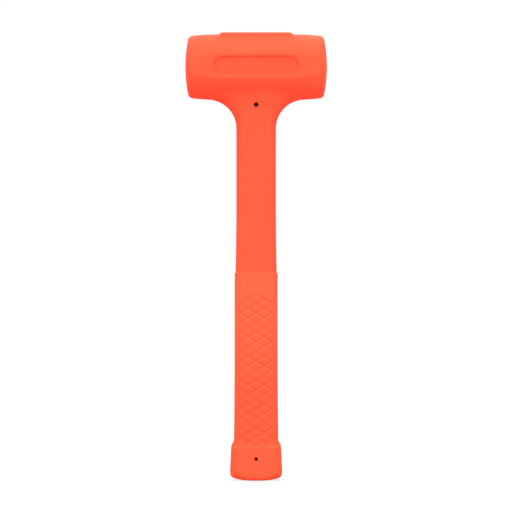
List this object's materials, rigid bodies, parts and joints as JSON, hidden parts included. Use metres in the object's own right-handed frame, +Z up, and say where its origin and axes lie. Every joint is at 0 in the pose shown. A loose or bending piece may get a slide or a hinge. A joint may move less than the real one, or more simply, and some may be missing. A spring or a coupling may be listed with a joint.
{
  "type": "dead blow mallet",
  "caption": "One-hand dead blow mallet: barrel head with crowned faces and loose steel shot in a canister, urethane cast over a steel core rod, textured grip with flared butt.",
  "frame": {"origin": "centre of the flat at the end of the butt, which is also the bottom centre of the whole mallet", "axes": "+Z up the handle to the head, X along the barrel of the head from one striking face to the other, -Y towards the front"},
  "size_m": [0.0966, 0.0418, 0.3049],
  "materials": {
    "urethane": "satin",
    "urethane_grip": "matte",
    "tube_steel": "satin",
    "cap_steel": "satin",
    "bar_steel": "satin",
    "weld_steel": "matte",
    "shot_steel": "satin"
  },
  "bodies": {
    "mallet": {"head_cover": "urethane", "grip_sleeve": "urethane_grip", "canister_tube": "tube_steel", "canister_cap_left": "cap_steel", "canister_cap_right": "cap_steel", "handle_rod": "bar_steel", "rod_weld": "weld_steel"},
    "shot": {"shot_charge": "shot_steel"}
  },
  "joints": [
    {"name": "shot_slide", "type": "slide", "parent": "mallet", "child": "shot", "axis": [1, 0, 0], "range_m": [-0.0067, 0.0067]}
  ]
}
